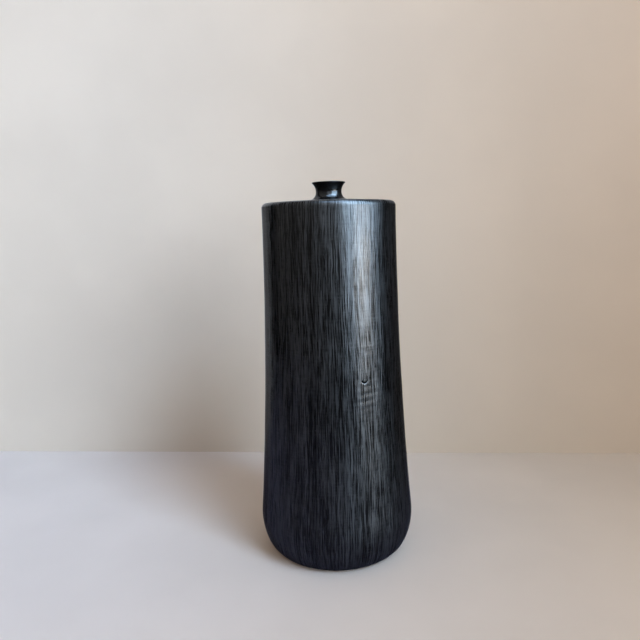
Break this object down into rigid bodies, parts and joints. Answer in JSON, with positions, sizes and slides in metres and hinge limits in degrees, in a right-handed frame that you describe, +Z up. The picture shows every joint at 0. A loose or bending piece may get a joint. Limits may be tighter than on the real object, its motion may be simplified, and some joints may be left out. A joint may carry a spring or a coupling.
{
  "type": "black clay bottle vase",
  "caption": "Tall round black clay bottle vase: rounded heel, wall that narrows gently upward, tight shoulder, nearly flat top and a small flared neck.",
  "frame": {"origin": "centre of the flat foot, on the floor", "axes": "+Z up along the pot's axis; the pot is round, and the picture looks along +Y with +X to its right"},
  "size_m": [0.1522, 0.1522, 0.3637],
  "materials": {
    "burnished_clay": "satin",
    "polished_clay": "gloss",
    "plain_clay": "matte",
    "fired_slip": "matte"
  },
  "bodies": {
    "root": {"base_pad": "burnished_clay", "base_seam_coil": "plain_clay", "foot_course": "burnished_clay", "middle_course": "burnished_clay", "upper_course": "burnished_clay", "shoulder_cap": "burnished_clay", "neck": "polished_clay", "luting_slip": "fired_slip"}
  },
  "joints": []
}
